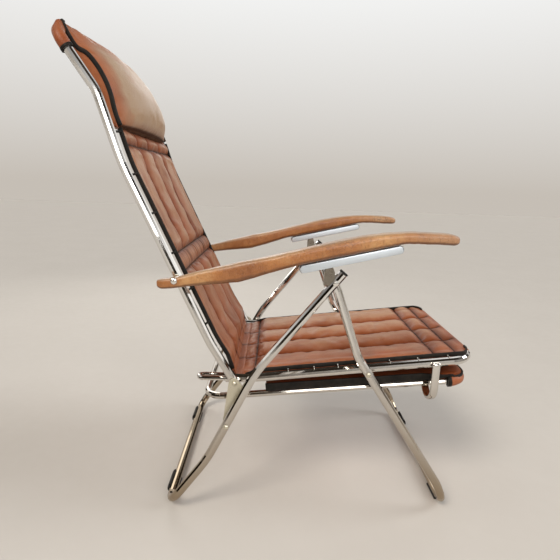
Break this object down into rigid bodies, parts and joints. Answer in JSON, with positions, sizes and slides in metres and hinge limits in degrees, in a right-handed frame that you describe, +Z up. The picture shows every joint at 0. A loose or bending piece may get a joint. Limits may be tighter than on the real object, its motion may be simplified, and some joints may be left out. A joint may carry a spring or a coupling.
{
  "type": "folding reclining lounge chair",
  "caption": "Folding lounge chair with a chromed tube frame, leather seat and back pads, a reclining back guided by channelled armrests, and a pull-out footrest.",
  "frame": {"origin": "centre of the bounding box in X and Y, on the floor under the foot pads", "axes": "+X is the front of the chair, +Y is the sitter's left, +Z is up"},
  "size_m": [0.9404, 0.592, 1.071],
  "materials": {
    "chrome_tube": "polished chrome plating",
    "chrome_rivet": "polished, lightly scratched",
    "zinc_plated_steel": "yellowish zinc plating",
    "satin_aluminium": "satin",
    "cognac_leather": "quilted, worn, semi-gloss with black-brown piping",
    "tan_leatherette": "wrinkled and cracked leatherette over a wooden core",
    "black_rubber": "matt"
  },
  "bodies": {
    "front_legs": {"front_leg_frame": "chrome_tube", "foot_pad_front_right": "black_rubber", "foot_pad_front_left": "black_rubber"},
    "rear_legs": {"rear_leg_frame": "chrome_tube", "leg_cap_right": "black_rubber", "leg_cap_left": "black_rubber", "foot_pad_rear_right": "black_rubber", "foot_pad_rear_left": "black_rubber", "roller_bracket_right": "zinc_plated_steel", "roller_bracket_left": "zinc_plated_steel", "armrest_roller_right": "zinc_plated_steel", "armrest_roller_left": "zinc_plated_steel", "leg_pivot_right": "chrome_rivet", "leg_pivot_left": "chrome_rivet", "link_rivet_right": "zinc_plated_steel", "link_rivet_left": "zinc_plated_steel"},
    "seat": {"seat_frame": "chrome_tube", "rear_loop_right": "chrome_tube", "rear_loop_left": "chrome_tube", "footrest_stirrup_right": "chrome_tube", "footrest_stirrup_left": "chrome_tube", "seat_pivot_right": "zinc_plated_steel", "seat_pivot_left": "zinc_plated_steel", "seat_pad": "cognac_leather"},
    "footrest": {"footrest_frame": "chrome_tube", "footrest_pad": "cognac_leather", "footrest_front_wrap": "cognac_leather"},
    "link_plates": {"link_plate_right": "zinc_plated_steel", "link_plate_left": "zinc_plated_steel"},
    "back": {"back_frame": "chrome_tube", "back_pad": "cognac_leather", "head_pillow": "cognac_leather", "top_bar_wrap": "cognac_leather", "back_bolt_right": "zinc_plated_steel", "back_bolt_left": "zinc_plated_steel"},
    "armrest_assembly_right": {"armrest_right": "tan_leatherette", "armrest_channel_right": "satin_aluminium", "notched_strip_right": "satin_aluminium", "armrest_rivet_right": "chrome_rivet", "armrest_washer_right": "zinc_plated_steel"},
    "armrest_assembly_left": {"armrest_left": "tan_leatherette", "armrest_channel_left": "satin_aluminium", "notched_strip_left": "satin_aluminium", "armrest_rivet_left": "chrome_rivet", "armrest_washer_left": "zinc_plated_steel"}
  },
  "joints": [
    {"name": "frame_fold", "type": "hinge", "parent": "front_legs", "child": "rear_legs", "pos_m": [0.1273, 0, 0.554], "axis": [0, 1, 0], "range_deg": [-34, 0]},
    {"name": "seat_fold", "type": "hinge", "parent": "front_legs", "child": "seat", "pos_m": [0.2143, 0, 0.343], "axis": [0, 1, 0], "range_deg": [-52.5, 0]},
    {"name": "footrest_slide", "type": "slide", "parent": "seat", "child": "footrest", "axis": [0.9951, 0, 0.099], "range_m": [0, 0.36]},
    {"name": "link_fold", "type": "hinge", "parent": "seat", "child": "link_plates", "pos_m": [-0.0857, 0, 0.312], "axis": [0, 1, 0], "range_deg": [-88.5, 0]},
    {"name": "back_recline", "type": "hinge", "parent": "seat", "child": "back", "pos_m": [-0.0857, 0, 0.312], "axis": [0, 1, 0], "range_deg": [-28, 8]},
    {"name": "armrest_follow_right", "type": "hinge", "parent": "back", "child": "armrest_assembly_right", "pos_m": [-0.2122, 0, 0.5495], "axis": [0, 1, 0], "range_deg": [-6, 20.5]},
    {"name": "armrest_follow_left", "type": "hinge", "parent": "back", "child": "armrest_assembly_left", "pos_m": [-0.2122, 0, 0.5495], "axis": [0, 1, 0], "range_deg": [-6, 20.5]}
  ],
  "couplings": [
    {"joint": "seat_fold", "follows": "frame_fold", "ratio": 1.53},
    {"joint": "link_fold", "follows": "frame_fold", "ratio": 2.581},
    {"joint": "armrest_follow_right", "follows": "back_recline", "ratio": -0.727},
    {"joint": "armrest_follow_left", "follows": "back_recline", "ratio": -0.727}
  ]
}
